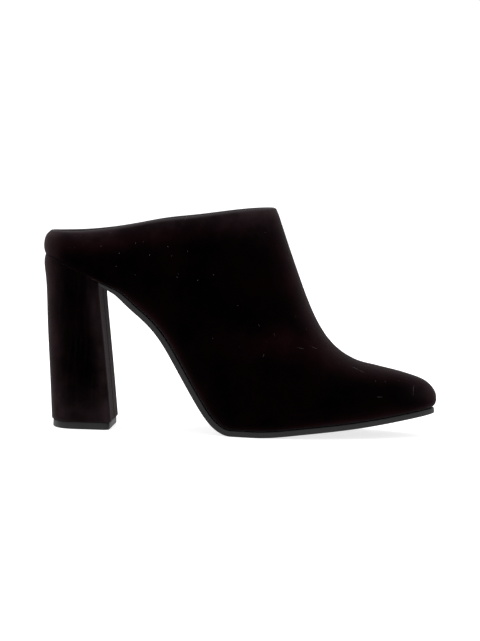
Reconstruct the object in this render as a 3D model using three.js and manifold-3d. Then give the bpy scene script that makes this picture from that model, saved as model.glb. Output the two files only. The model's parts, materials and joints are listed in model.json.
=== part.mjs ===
// A closed-toe mule on a high block heel: the right shoe of a pair, EU size 38, standing empty on a floor.
// Millimetres. +X points to the toe, +Y to the inner side of the foot, +Z up.
// The origin is on the floor, below the middle of the shoe.
//
// Five pieces: a hollow cloth upper lasted over an insole, a thin rubber outsole from the toe to the
// heel breast, a cloth-covered block heel under the seat, and a rubber top lift under the heel.
import * as THREE from "three";
import { mergeVertices } from "three/addons/utils/BufferGeometryUtils.js";
import Module from "manifold-3d";

const wasm = await Module();
wasm.setup();

// ---- Driving sizes

const wallThickness = 2.0; // outer cloth, backing and lining together
const gap = 0.3; // clearance between two pieces that meet
const insoleThickness = 3.2;
const lastingMargin = 11; // how far the upper turns in under the insole

const soleThickness = 3.2;
const soleTailThickness = 1.5; // where the sole runs out at the heel breast
const soleProud = 0.1; // sole edge beyond the upper's feather line
const soleBevel = 0.8;

const toeTipX = 113.1;
const ballBackX = -2; // the flat tread of the ball runs from here
const ballFrontX = 12; // to here
const featherAtBall = soleThickness + gap;

const seatBackX = -113;
const seatBackZ = 99;
const seatSlope = -0.44; // the seat falls this much for each millimetre forwards
const seatEndX = -70;

const breastX = -79.6; // where the sole's tail meets the heel
const topLiftHeight = 4.1;
const topLiftInset = 0.8;
const heelBottomZ = topLiftHeight + gap;
const heelTopZ = 104; // the block is made to here and then cut to the seat
const seamBottomZ = 92; // above here the block's back turns in under the seat

// ---- Tables

// Height of the feather line, where the upper meets the sole, through the arch.
const archRows = [
  { x: seatEndX, z: seatBackZ + seatSlope * (seatEndX - seatBackX) },
  { x: -60, z: 72.3 },
  { x: -50, z: 63.6 },
  { x: -41, z: 53.1 },
  { x: -31.7, z: 38.3 },
  { x: -21.5, z: 21.6 },
  { x: -12.5, z: 9.2 },
  { x: -6, z: 4.4 },
  { x: ballBackX, z: featherAtBall },
];

// Toe spring: how far the feather line lifts in front of the ball.
const springRows = [
  { x: ballFrontX, z: 0 },
  { x: 34, z: 1.9 },
  { x: 61, z: 5.0 },
  { x: 82, z: 8.0 },
  { x: 100, z: 11.2 },
  { x: toeTipX, z: 13.7 },
];

// Sections of the last, from the back of the heel to the tip of the toe. Each section fans up from the
// feather line at foot to a crown point: the ridge of the instep, or a point well above the collar.
//   bow           how far the section's middle line bows back
//   axis          its middle, towards the inner side
//   outer, inner  half-widths at the widest height
//   swell         how far they stand out past the feather
//   rise          the widest height, up the section
//   round, hollow radius of the lower edge, outside and inside the shoe
//   square        2 is an ellipse, more is squarer
const lastColumns = [
  "foot", "crownX", "crownZ", "bow", "axis", "outer", "inner", "swell", "rise", "round", "hollow", "square",
];
const lastRows = [
  [-113.9, -100, 117, 5.6, 0, 0, 0, 0.3, 4.5, 1.2, 4.2, 2.2],
  [-109, -96, 121, 4.8, 0, 14.6, 14.6, 0.5, 5.5, 1.2, 4.2, 2.3],
  [-96, -84, 134, 2.5, 0, 24.4, 24.4, 0.9, 8, 1.4, 4.2, 2.5],
  [-80, -66, 150, 0.5, 0, 27.3, 27.3, 2.0, 13, 2, 4.2, 2.6],
  [-60, -40, 160, 0, 0, 28.8, 28.2, 6.5, 26, 3.5, 3.5, 2.6],
  [-42, -14, 160, 0, 0.3, 30.5, 29.5, 8, 34, 3.5, 3.5, 2.4],
  [-27, 8.7, 153, 0, 0.8, 32.8, 31, 6.5, 32, 3.5, 3.5, 2.2],
  [-13, 22, 119, 0, 1.2, 35.8, 32.4, 4.5, 25, 3.5, 3.5, 2.05],
  [1, 32.8, 89.5, 0, 1.6, 39.2, 34.6, 3.2, 18, 3.5, 3.5, 2],
  [16, 42.7, 66.2, 0, 2, 41, 37.2, 2.6, 14, 3.5, 3.5, 2.05],
  [33, 53.7, 50.9, 0, 2.4, 40.6, 38.4, 2.5, 12, 3.5, 3.5, 2.1],
  [52, 65.3, 43.1, 0, 3, 37.4, 36.4, 2.4, 10.5, 3.5, 3.5, 2.2],
  [73, 79, 39.5, 0, 3.8, 31, 30.6, 2.3, 9.5, 3.5, 3.5, 2.25],
  [91, 93.5, 36.4, 0, 4.6, 22.6, 22.4, 2.1, 8.5, 3.5, 3.5, 2.3],
  [104.5, 105.1, 32.5, 0, 5, 14.2, 14, 1.7, 6.5, 3.5, 3.5, 2.2],
  [111.2, 111.2, 27.3, 0, 5.2, 7, 6.8, 1.6, 5, 3.5, 3.5, 2.1],
  [toeTipX, toeTipX, 21.8, 0, 5.2, 0, 0, 1.5, 3.6, 3.5, 3.5, 2],
].map((row) => Object.fromEntries(lastColumns.map((name, i) => [name, row[i]])));

// Top edge of the collar, seen from the side. It dips behind the arch and climbs to the throat.
const toplineRows = [
  { x: -116, z: 114.0 },
  { x: -105, z: 113.1 },
  { x: -90, z: 113.2 },
  { x: -75, z: 114.9 },
  { x: -60, z: 117.7 },
  { x: -46, z: 120.6 },
  { x: -30, z: 122.8 },
  { x: 0, z: 127.3 },
  { x: 20, z: 129.0 },
];

// Slopes of the curves through the tables at their ends.
const toeSlope = 0.2;
const collarBackSlope = -0.08;
const throatSlope = 0.06;

// The heel block, from its bottom to the seat.
//   back, breast  its ends in X
//   half          half-width
//   arc           length of the rounded back
//   corner        radius of the two front corners
const heelRows = [
  { z: heelBottomZ, back: -107.1, breast: -71.2, half: 21.4, arc: 14, corner: 3 },
  { z: 34, back: -109.0, breast: -74.4, half: 21.9, arc: 16, corner: 3.4 },
  { z: 64, back: -111.0, breast: -77.9, half: 23.0, arc: 20, corner: 4.2 },
  { z: 88, back: -112.7, breast: -80.2, half: 24.9, arc: 24, corner: 5.4 },
  { z: 96.5, back: -113.2, breast: -80.6, half: 25.2, arc: 25, corner: 5.6 },
  { z: 100, back: -112, breast: -80.8, half: 25.2, arc: 25, corner: 5.8 },
  { z: heelTopZ, back: -109, breast: -81, half: 25.3, arc: 25, corner: 6 },
];

// ---- Curves through the tables

// Smooth cubic curve through rows of x and a value, with given slopes at its two ends.
function clampedSpline(rows, name, startSlope, endSlope) {
  const count = rows.length;
  const x = rows.map((row) => row.x);
  const y = rows.map((row) => row[name]);
  const upper = [];
  const right = [];
  for (let i = 0; i < count; i++) {
    const before = i > 0 ? x[i] - x[i - 1] : 0;
    const after = i < count - 1 ? x[i + 1] - x[i] : 0;
    const slopeBefore = i > 0 ? (y[i] - y[i - 1]) / before : startSlope;
    const slopeAfter = i < count - 1 ? (y[i + 1] - y[i]) / after : endSlope;
    const pivot = 2 * (before + after) - (i > 0 ? before * upper[i - 1] : 0);
    upper.push(after / pivot);
    right.push((6 * (slopeAfter - slopeBefore) - (i > 0 ? before * right[i - 1] : 0)) / pivot);
  }
  const bend = new Array(count).fill(0);
  for (let i = count - 1; i >= 0; i--) {
    bend[i] = right[i] - (i < count - 1 ? upper[i] * bend[i + 1] : 0);
  }
  return (at) => {
    let i = 0;
    while (i < count - 2 && at > x[i + 1]) i++;
    const width = x[i + 1] - x[i];
    const a = (x[i + 1] - at) / width;
    const b = (at - x[i]) / width;
    const curve = ((a ** 3 - a) * bend[i] + (b ** 3 - b) * bend[i + 1]) * (width ** 2 / 6);
    return a * y[i] + b * y[i + 1] + curve;
  };
}

// Smooth curve through four neighbouring values, from start to end as t goes from 0 to 1.
function catmullRom([before, start, end, after], t) {
  const linear = end - before;
  const square = 2 * before - 5 * start + 4 * end - after;
  const cube = 3 * (start - end) + after - before;
  return start + 0.5 * t * (linear + t * (square + t * cube));
}

// At the heel and the toe the sections shrink to a line. Past that line the last is its own mirror image.
const mirroredColumns = ["outer", "inner", "crownZ"];
function rowPast(pole, neighbour) {
  const row = { ...neighbour };
  for (const name of mirroredColumns) row[name] = 2 * pole[name] - neighbour[name];
  return row;
}
const lastCount = lastRows.length;
const extendedRows = [
  rowPast(lastRows[0], lastRows[1]),
  ...lastRows,
  rowPast(lastRows[lastCount - 1], lastRows[lastCount - 2]),
];

// All columns of the last at station s, which counts rows from the heel.
function lastAt(s) {
  const i = Math.min(Math.floor(s), lastCount - 2);
  const t = s - i;
  const near = extendedRows.slice(i, i + 4);
  const section = {};
  for (const name of Object.keys(lastRows[0])) {
    section[name] = catmullRom(near.map((row) => row[name]), t);
  }
  return section;
}

const archHeight = clampedSpline(archRows, "z", seatSlope, 0);
const springHeight = clampedSpline(springRows, "z", 0, toeSlope);

// Height of the feather line above the floor.
function featherHeight(x) {
  if (x < seatEndX) return seatBackZ + seatSlope * (x - seatBackX);
  if (x < ballBackX) return archHeight(x);
  if (x < ballFrontX) return featherAtBall;
  return featherAtBall + springHeight(x);
}

// The point that lies a distance above the feather line, square to it.
function aboveFeather(x, distance) {
  const step = 0.05;
  const slope = (featherHeight(x + step) - featherHeight(x - step)) / (2 * step);
  const length = Math.hypot(1, slope);
  return { x: x - (slope / length) * distance, z: featherHeight(x) + distance / length };
}

const toplineHeight = clampedSpline(toplineRows, "z", collarBackSlope, throatSlope);

// ---- Plan outline of the last at its widest

const outerSide = -1;
const innerSide = 1;

// The widest outline moved inwards, square to itself, by inset.
function outlinePoint(s, side, inset) {
  const step = 0.01;
  const here = lastAt(s);
  const back = s - step < 0 ? rowMirrored(lastAt(step)) : lastAt(s - step);
  const front = s + step > lastCount - 1 ? rowMirrored(lastAt(s - step)) : lastAt(s + step);
  const half = side === outerSide ? "outer" : "inner";
  const dx = front.foot - back.foot;
  const dy = side * (front[half] - back[half]) + front.axis - back.axis;
  const length = Math.hypot(dx, dy);
  return {
    x: here.foot + (inset * side * dy) / length,
    y: here.axis + side * here[half] - (inset * side * dx) / length,
  };
}
function rowMirrored(section) {
  return { ...section, outer: -section.outer, inner: -section.inner };
}

// ---- Solids from meshes

// A closed mesh of rings of points, each ring anticlockwise seen from the side the rings go on to.
// The first and last ring may be folded flat on themselves.
function ringGeometry(rings) {
  const size = rings[0].length;
  const positions = rings.flat().flatMap((point) => [point.x, point.y, point.z]);
  const index = [];
  for (let i = 0; i < rings.length - 1; i++) {
    for (let j = 0; j < size; j++) {
      const k = (j + 1) % size;
      const [a, b, c, d] = [i * size + j, i * size + k, (i + 1) * size + k, (i + 1) * size + j];
      index.push(a, b, c, a, c, d);
    }
  }
  return closedGeometry(positions, index);
}

// Joins vertices that share a place, and drops the triangles that this folds to nothing.
const weld = 1e-3;
function closedGeometry(positions, index) {
  const loose = new THREE.BufferGeometry();
  loose.setAttribute("position", new THREE.Float32BufferAttribute(positions, 3));
  loose.setIndex(index);
  const merged = mergeVertices(loose, weld);
  const kept = [];
  for (let i = 0; i < merged.index.count; i += 3) {
    const corners = [0, 1, 2].map((k) => merged.index.getX(i + k));
    if (new Set(corners).size === 3) kept.push(...corners);
  }
  merged.setIndex(kept);
  return merged;
}

function solidOf(geometry) {
  const bare = geometry.clone();
  bare.deleteAttribute("normal");
  bare.deleteAttribute("uv");
  const { attributes, index } = mergeVertices(bare, weld);
  return new wasm.Manifold(
    new wasm.Mesh({
      numProp: 3,
      vertProperties: attributes.position.array,
      triVerts: new Uint32Array(index.array),
    }),
  );
}

function geometryOf(solid) {
  const { vertProperties, triVerts } = solid.getMesh();
  const geometry = new THREE.BufferGeometry();
  geometry.setAttribute("position", new THREE.Float32BufferAttribute(vertProperties, 3));
  geometry.setIndex(Array.from(triVerts));
  return geometry;
}

// A side-view outline made solid across the whole width of the shoe.
const prismHalfWidth = 70;
function sidePrism(outline) {
  const shape = new THREE.Shape(outline.map(({ x, z }) => new THREE.Vector2(x, z)));
  const prism = new THREE.ExtrudeGeometry(shape, { depth: 2 * prismHalfWidth, bevelEnabled: false });
  prism.rotateX(Math.PI / 2);
  prism.translate(0, prismHalfWidth, 0);
  return solidOf(prism);
}

// Numbers from a to b in equal steps.
function steps(a, b, count) {
  return Array.from({ length: count + 1 }, (_, i) => a + ((b - a) * i) / count);
}

// ---- The last and its inward copies

const stationsPerRow = 3;
const stationsPerArchRow = 4;
const archLead = 12; // the arch's finer stations begin this far behind it
const wallSteps = 4; // from the feather line to the widest height
const domeSteps = 9; // from there to the crown
const floorSteps = 2; // across half of the bottom

// A point of the last's surface on one side. part runs 0 at the feather, 1 at the widest, 2 at the crown.
// edge names the column with the radius of the lower edge.
function lastPoint(s, side, part, edge) {
  const section = lastAt(s);
  const base = { x: section.foot, z: featherHeight(section.foot) };
  const lineX = section.crownX - base.x;
  const lineZ = section.crownZ - base.z;
  const height = Math.hypot(lineX, lineZ);
  const widest = section.rise / height;
  const half = side === outerSide ? section.outer : section.inner;
  const power = 2 / section.square;
  let up = widest;
  let plan = { x: base.x, y: section.axis + side * half };
  if (part < 1) {
    const angle = ((1 - part) * Math.PI) / 2;
    up = widest * (1 - Math.sin(angle));
    plan = outlinePoint(s, side, undercut(section, section[edge]) * (1 - Math.cos(angle)));
  } else {
    const angle = ((part - 1) * Math.PI) / 2;
    up = widest + (1 - widest) * Math.sin(angle) ** power;
    plan.y = section.axis + side * half * Math.max(Math.cos(angle), 0) ** power;
  }
  const bow = (4 * section.bow * up * (1 - up)) / height;
  return {
    x: plan.x + lineX * up - lineZ * bow,
    y: plan.y,
    z: featherHeight(plan.x) + lineZ * up + lineX * bow,
  };
}

// How far the lower edge lies inside the widest outline. The edge turns under more sharply at both ends.
const leastRoundShare = 0.45;
function undercut({ outer, inner, swell }, radius) {
  const half = Math.max((outer + inner) / 2, 0);
  return swell + radius * Math.max(half / (half + radius), leastRoundShare);
}

function lastRing(s, edge) {
  const parts = [
    ...steps(0, 1, wallSteps).slice(0, -1),
    ...steps(1, 2, domeSteps),
  ];
  const inner = parts.map((part) => lastPoint(s, innerSide, part, edge));
  const outer = parts.map((part) => lastPoint(s, outerSide, part, edge)).slice(0, -1).reverse();
  const from = outer[outer.length - 1];
  const to = inner[0];
  const floor = steps(0, 1, 2 * floorSteps).slice(1, -1).map((t) => {
    const x = from.x + (to.x - from.x) * t;
    return { x, y: from.y + (to.y - from.y) * t, z: featherHeight(x) };
  });
  return [...inner, ...outer, ...floor];
}

const stations = lastRows.flatMap((row, i) => {
  if (i === lastCount - 1) return [i];
  const arched = row.foot > seatEndX - archLead && row.foot < ballBackX;
  const count = arched ? stationsPerArchRow : stationsPerRow;
  return steps(i, i + 1, count).slice(0, -1);
});
const outerGeometry = ringGeometry(stations.map((s) => lastRing(s, "round")));
const hollowGeometry = ringGeometry(stations.map((s) => lastRing(s, "hollow")));
hollowGeometry.computeVertexNormals();

// The last with its whole surface moved inwards by depth.
function lastInset(depth) {
  const { position, normal } = hollowGeometry.attributes;
  const moved = [];
  for (let i = 0; i < position.count; i++) {
    const point = new THREE.Vector3().fromBufferAttribute(position, i);
    const outwards = new THREE.Vector3().fromBufferAttribute(normal, i);
    moved.push(...point.addScaledVector(outwards, -depth).toArray());
  }
  const geometry = new THREE.BufferGeometry();
  geometry.setAttribute("position", new THREE.Float32BufferAttribute(moved, 3));
  geometry.setIndex(hollowGeometry.index);
  return solidOf(geometry);
}

// Everything below a line that runs a distance above the feather line, inside the shoe.
const profileSteps = 90;
const farBelow = -30;
const endRoom = 12;
function belowFeather(distance) {
  const backX = seatBackX - endRoom;
  const frontX = toeTipX + endRoom;
  const line = steps(backX, frontX, profileSteps).map((x) => aboveFeather(x, distance));
  return sidePrism([...line, { x: frontX, z: farBelow }, { x: backX, z: farBelow }]);
}

// Everything above the collar's top edge.
const farAbove = 200;
const toplineSteps = 40;
function aboveTopline() {
  const backX = toplineRows[0].x - endRoom;
  const frontX = toplineRows[toplineRows.length - 1].x;
  const line = steps(backX, frontX, toplineSteps).map((x) => ({ x, z: toplineHeight(x) }));
  return sidePrism([
    { x: backX, z: farAbove },
    ...line,
    { x: frontX + endRoom, z: toplineHeight(frontX) },
    { x: frontX + endRoom, z: farAbove },
  ]);
}

// The opening left underneath, inside the strip of cloth that is turned in under the insole.
const openingFrom = 1.4; // stations
const openingTo = 12.9;
const openingSteps = 30;
function lastingOpening() {
  const half = steps(openingFrom, openingTo, openingSteps);
  const outline = [
    ...half.map((s) => outlinePoint(s, innerSide, lastAt(s).swell + lastingMargin)),
    ...half.map((s) => outlinePoint(s, outerSide, lastAt(s).swell + lastingMargin)).reverse(),
  ];
  const shape = new THREE.Shape(outline.map(({ x, y }) => new THREE.Vector2(x, y)));
  const column = new THREE.ExtrudeGeometry(shape, { depth: farAbove, bevelEnabled: false });
  column.translate(0, 0, farBelow / 2);
  return solidOf(column).intersect(belowFeather(2 * wallThickness));
}

// ---- The pieces

function makeUpper() {
  return solidOf(outerGeometry)
    .subtract(lastInset(wallThickness))
    .subtract(aboveTopline())
    .subtract(lastingOpening());
}

function makeInsole() {
  const underside = wallThickness + gap;
  return lastInset(underside).intersect(belowFeather(underside + insoleThickness));
}

// The sole is thin where it runs out at the heel breast and has its full thickness in the arch.
const soleTailLength = 18;
function soleDepth(x) {
  const t = THREE.MathUtils.smoothstep(x, breastX, breastX + soleTailLength);
  return THREE.MathUtils.lerp(soleTailThickness, soleThickness, t);
}

function soleRing(s) {
  const corner = (side, bevel, depth) => {
    const { x, y } = outlinePoint(s, side, lastAt(s).swell - soleProud + bevel);
    const point = aboveFeather(x, -depth);
    return { x: point.x, y, z: point.z };
  };
  const full = gap + soleDepth(lastAt(s).foot);
  const levels = [
    { bevel: 0, depth: gap },
    { bevel: 0, depth: full - soleBevel },
    { bevel: soleBevel, depth: full },
  ];
  return [
    ...levels.map(({ bevel, depth }) => corner(outerSide, bevel, depth)),
    ...levels.map(({ bevel, depth }) => corner(innerSide, bevel, depth)).reverse(),
  ];
}

function makeOutsole() {
  const whole = solidOf(ringGeometry(stations.map(soleRing)));
  const front = sidePrism([
    { x: breastX + gap, z: farBelow },
    { x: toeTipX + endRoom, z: farBelow },
    { x: toeTipX + endRoom, z: farAbove },
    { x: breastX + gap, z: farAbove },
  ]);
  return whole.intersect(front);
}

const heelColumn = Object.fromEntries(
  ["back", "breast", "half", "arc", "corner"].map((name) => {
    const rows = heelRows.map((row) => ({ x: row.z, [name]: row[name] }));
    const slope = (a, b) => (b[name] - a[name]) / (b.x - a.x);
    const last = rows.length - 1;
    return [name, clampedSpline(rows, name, slope(rows[0], rows[1]), slope(rows[last - 1], rows[last]))];
  }),
);

// Outline of the heel block at height z: a rounded back, flat sides and a flat breast with round corners.
const heelBackPower = 2 / 2.2;
const cornerSteps = 5;
const arcSteps = 12;
function heelOutline(z, inset) {
  const back = heelColumn.back(z) + inset;
  const breast = heelColumn.breast(z) - inset;
  const half = heelColumn.half(z) - inset;
  const arc = heelColumn.arc(z);
  const corner = heelColumn.corner(z);
  const side = [
    ...steps(0, 1, cornerSteps).map((t) => ({
      x: breast - corner + corner * Math.cos((t * Math.PI) / 2),
      y: half - corner + corner * Math.sin((t * Math.PI) / 2),
    })),
    ...steps(0, 1, arcSteps).map((t) => ({
      x: back + arc - arc * Math.sin((t * Math.PI) / 2) ** heelBackPower,
      y: half * Math.max(Math.cos((t * Math.PI) / 2), 0) ** heelBackPower,
    })),
  ];
  const mirrored = side.slice(0, -1).reverse().map(({ x, y }) => ({ x, y: -y }));
  return [...side, ...mirrored].map(({ x, y }) => ({ x, y, z }));
}

// A stack of outlines closed by flat ends.
function stackGeometry(rings) {
  const fold = (ring) => {
    const centre = ring.reduce((sum, p) => ({ x: sum.x + p.x, y: sum.y + p.y, z: p.z }), { x: 0, y: 0 });
    return ring.map(() => ({ x: centre.x / ring.length, y: centre.y / ring.length, z: centre.z }));
  };
  return ringGeometry([fold(rings[0]), ...rings, fold(rings[rings.length - 1])]);
}

const heelEdge = 0.8; // the cloth's soft turn at the bottom edge of the block
const shaftSteps = 6;
const seamSteps = 5;
function makeHeel() {
  const levels = [
    ...steps(heelBottomZ + heelEdge, seamBottomZ, shaftSteps),
    ...steps(seamBottomZ, heelTopZ, seamSteps).slice(1),
  ];
  const block = stackGeometry([
    heelOutline(heelBottomZ, heelEdge),
    ...levels.map((z) => heelOutline(z, 0)),
  ]);
  return solidOf(block).intersect(belowFeather(-gap));
}

const topLiftBevel = 0.6;
function makeTopLift() {
  const outline = (z, inset) =>
    heelOutline(heelBottomZ, topLiftInset + inset).map(({ x, y }) => ({ x, y, z }));
  return solidOf(
    stackGeometry([outline(0, topLiftBevel), outline(topLiftBevel, 0), outline(topLiftHeight, 0)]),
  );
}

// ---- The shoe

const pieces = [
  { name: "upper", solid: makeUpper(), color: 0x0b0507, roughness: 0.95 },
  { name: "insole", solid: makeInsole(), color: 0x151214, roughness: 0.6 },
  { name: "outsole", solid: makeOutsole(), color: 0x161415, roughness: 0.7 },
  { name: "heel_block", solid: makeHeel(), color: 0x0b0507, roughness: 0.95 },
  { name: "top_lift", solid: makeTopLift(), color: 0x161415, roughness: 0.7 },
];

const shoe = new THREE.Group();
for (const { name, solid, color, roughness } of pieces) {
  const material = new THREE.MeshStandardMaterial({ color, roughness, metalness: 0 });
  const mesh = new THREE.Mesh(geometryOf(solid), material);
  mesh.name = name;
  shoe.add(mesh);
}

// The origin lies on the floor below the middle of the shoe's box.
const box = new THREE.Box3().setFromObject(shoe);
const middle = box.getCenter(new THREE.Vector3());
shoe.position.set(-middle.x, -middle.y, -box.min.z);

export default shoe;
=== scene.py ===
"""The looks of a closed-toe velvet mule on a covered block heel: the right shoe of a pair.

The file is laid out as a Blender add-on and run as a script. Sizes in the tables are millimetres in the
last's own coordinates: +X to the toe, +Y to the inner side of the foot, +Z up. frame_points() turns
them into places in the frame.
"""

import json
import math

import bmesh
import bpy
import numpy as np
from bpy.props import FloatProperty, FloatVectorProperty, IntProperty, PointerProperty
from bpy.types import Operator, Panel, PropertyGroup
from mathutils import Matrix, Vector

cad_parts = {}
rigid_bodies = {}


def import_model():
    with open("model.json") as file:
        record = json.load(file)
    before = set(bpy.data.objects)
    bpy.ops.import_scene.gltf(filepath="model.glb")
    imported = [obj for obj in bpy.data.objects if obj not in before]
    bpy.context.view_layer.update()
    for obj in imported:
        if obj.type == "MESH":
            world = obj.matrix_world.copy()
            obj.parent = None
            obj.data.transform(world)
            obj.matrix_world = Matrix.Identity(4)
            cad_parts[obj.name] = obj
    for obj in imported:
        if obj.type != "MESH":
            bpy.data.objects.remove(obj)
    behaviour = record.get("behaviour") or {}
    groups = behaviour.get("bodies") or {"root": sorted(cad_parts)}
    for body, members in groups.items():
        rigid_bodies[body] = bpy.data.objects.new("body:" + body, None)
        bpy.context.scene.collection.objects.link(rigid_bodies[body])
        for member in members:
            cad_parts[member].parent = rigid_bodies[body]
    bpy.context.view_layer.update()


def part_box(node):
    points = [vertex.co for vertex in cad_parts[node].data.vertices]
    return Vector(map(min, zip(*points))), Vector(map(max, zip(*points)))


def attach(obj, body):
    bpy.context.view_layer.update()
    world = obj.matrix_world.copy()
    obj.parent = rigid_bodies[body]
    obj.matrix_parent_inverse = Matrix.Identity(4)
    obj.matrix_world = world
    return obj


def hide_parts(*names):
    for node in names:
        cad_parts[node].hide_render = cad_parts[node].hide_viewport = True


bl_info = {
    "name": "Velvet Block-Heel Mule",
    "version": (1, 0, 0),
    "blender": (4, 5, 0),
    "location": "View3D > Sidebar > Mule",
    "description": "Dresses the frame of a mule in velvet, lining, rubber and thread",
    "category": "Add Mesh",
}

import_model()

MM = 0.001
OUTER, INNER = -1, 1  # the two sides of the foot
QUARTER_TURN = math.pi / 2


# ---- The last, its feather line and its collar line

WALL = 2.0
GAP = 0.3
SOLE_DEPTH = 3.2
SOLE_TAIL_DEPTH = 1.5
SOLE_TAIL_LENGTH = 18
SOLE_PROUD = 0.1
TOE_TIP_X = 113.1
BALL_BACK_X, BALL_FRONT_X = -2, 12
FEATHER_AT_BALL = SOLE_DEPTH + GAP
TOE_SLOPE, COLLAR_BACK_SLOPE, THROAT_SLOPE = 0.2, -0.08, 0.06
SEAT_BACK_X, SEAT_BACK_Z, SEAT_SLOPE, SEAT_END_X = -113, 99, -0.44, -70
BREAST_X = -79.6
LIFT_HEIGHT = 4.1
LIFT_INSET = 0.8
HEEL_BOTTOM_Z = LIFT_HEIGHT + GAP

ARCH_ROWS = (
    (SEAT_END_X, SEAT_BACK_Z + SEAT_SLOPE * (SEAT_END_X - SEAT_BACK_X)),
    (-60, 72.3), (-50, 63.6), (-41, 53.1), (-31.7, 38.3), (-21.5, 21.6), (-12.5, 9.2), (-6, 4.4),
    (BALL_BACK_X, FEATHER_AT_BALL),
)
SPRING_ROWS = ((BALL_FRONT_X, 0), (34, 1.9), (61, 5.0), (82, 8.0), (100, 11.2), (TOE_TIP_X, 13.7))
TOPLINE_ROWS = (
    (-116, 114.0), (-105, 113.1), (-90, 113.2), (-75, 114.9), (-60, 117.7), (-46, 120.6), (-30, 122.8),
    (0, 127.3), (20, 129.0),
)

# Sections of the last from the heel's back to the toe's tip. Each fans up from the feather line at foot
# to a crown point; half-widths outer and inner lie either side of axis at the widest height, rise.
# round and hollow are the radii of the lower edge, outside and inside the shoe.
LAST_COLUMNS = (
    "foot", "crown_x", "crown_z", "bow", "axis", "outer", "inner", "swell", "rise", "round", "hollow",
    "square",
)
LAST_ROWS = np.array((
    (-113.9, -100, 117, 5.6, 0, 0, 0, 0.3, 4.5, 1.2, 4.2, 2.2),
    (-109, -96, 121, 4.8, 0, 14.6, 14.6, 0.5, 5.5, 1.2, 4.2, 2.3),
    (-96, -84, 134, 2.5, 0, 24.4, 24.4, 0.9, 8, 1.4, 4.2, 2.5),
    (-80, -66, 150, 0.5, 0, 27.3, 27.3, 2.0, 13, 2, 4.2, 2.6),
    (-60, -40, 160, 0, 0, 28.8, 28.2, 6.5, 26, 3.5, 3.5, 2.6),
    (-42, -14, 160, 0, 0.3, 30.5, 29.5, 8, 34, 3.5, 3.5, 2.4),
    (-27, 8.7, 153, 0, 0.8, 32.8, 31, 6.5, 32, 3.5, 3.5, 2.2),
    (-13, 22, 119, 0, 1.2, 35.8, 32.4, 4.5, 25, 3.5, 3.5, 2.05),
    (1, 32.8, 89.5, 0, 1.6, 39.2, 34.6, 3.2, 18, 3.5, 3.5, 2),
    (16, 42.7, 66.2, 0, 2, 41, 37.2, 2.6, 14, 3.5, 3.5, 2.05),
    (33, 53.7, 50.9, 0, 2.4, 40.6, 38.4, 2.5, 12, 3.5, 3.5, 2.1),
    (52, 65.3, 43.1, 0, 3, 37.4, 36.4, 2.4, 10.5, 3.5, 3.5, 2.2),
    (73, 79, 39.5, 0, 3.8, 31, 30.6, 2.3, 9.5, 3.5, 3.5, 2.25),
    (91, 93.5, 36.4, 0, 4.6, 22.6, 22.4, 2.1, 8.5, 3.5, 3.5, 2.3),
    (104.5, 105.1, 32.5, 0, 5, 14.2, 14, 1.7, 6.5, 3.5, 3.5, 2.2),
    (111.2, 111.2, 27.3, 0, 5.2, 7, 6.8, 1.6, 5, 3.5, 3.5, 2.1),
    (TOE_TIP_X, TOE_TIP_X, 21.8, 0, 5.2, 0, 0, 1.5, 3.6, 3.5, 3.5, 2),
), float)
LAST_END = len(LAST_ROWS) - 1
LEAST_ROUND_SHARE = 0.45  # of the lower edge's radius, kept where the last narrows to a point

# The covered block: height, back, breast, half-width, length of the rounded back and radius of the
# front corners.
HEEL_ROWS = np.array((
    (HEEL_BOTTOM_Z, -107.1, -71.2, 21.4, 14, 3),
    (34, -109.0, -74.4, 21.9, 16, 3.4),
    (64, -111.0, -77.9, 23.0, 20, 4.2),
    (88, -112.7, -80.2, 24.9, 24, 5.4),
    (96.5, -113.2, -80.6, 25.2, 25, 5.6),
    (100, -112, -80.8, 25.2, 25, 5.8),
    (104, -109, -81, 25.3, 25, 6),
), float)
HEEL_BACK_POWER = 2 / 2.2

# Soft troughs in the cloth, on the side view: middle, heading in degrees, half-length, width, depth
# and side.
CREASE_COLUMNS = ("x", "z", "heading", "reach", "width", "depth", "side")
CREASES = (
    (38, 44, 62, 13, 2.6, 0.42, OUTER),
    (43.5, 46, 56, 10, 2.2, 0.3, OUTER),
    (30, 52, 70, 12, 3.4, 0.28, OUTER),
    (39, 43, 60, 12, 2.6, 0.4, INNER),
    (46, 44, 54, 9, 2.2, 0.28, INNER),
    (-62, 97, 24, 15, 4.5, 0.3, OUTER),
    (-64, 95, 20, 14, 4.5, 0.28, INNER),
)

lift_low, lift_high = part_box("top_lift")
LAST_SHIFT = np.array((
    lift_low.x / MM - (HEEL_ROWS[0, 1] + LIFT_INSET),
    (lift_low.y + lift_high.y) / 2 / MM,
    lift_low.z / MM,
))


def frame_points(points):
    """Places in the frame, in metres, of points in the last's coordinates."""
    return (np.asarray(points, float) + LAST_SHIFT) * MM


def clamped_spline(rows, start_slope, end_slope):
    """Smooth cubic curve through (x, value) rows, with given slopes at its ends."""
    x, y = np.array(rows, float).T
    width = np.diff(x)
    slopes = np.concatenate(([start_slope], np.diff(y) / width, [end_slope]))
    spans = np.concatenate(([0], width, [0]))
    matrix = np.diag(2 * (spans[:-1] + spans[1:])) + np.diag(width, 1) + np.diag(width, -1)
    bend = np.linalg.solve(matrix, 6 * np.diff(slopes))

    def value(at):
        i = np.clip(np.searchsorted(x, at) - 1, 0, len(x) - 2)
        a = (x[i + 1] - at) / width[i]
        b = (at - x[i]) / width[i]
        curve = ((a**3 - a) * bend[i] + (b**3 - b) * bend[i + 1]) * width[i] ** 2 / 6
        return a * y[i] + b * y[i + 1] + curve

    return value


arch_height = clamped_spline(ARCH_ROWS, SEAT_SLOPE, 0)
spring_height = clamped_spline(SPRING_ROWS, 0, TOE_SLOPE)
topline_height = clamped_spline(TOPLINE_ROWS, COLLAR_BACK_SLOPE, THROAT_SLOPE)


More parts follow.
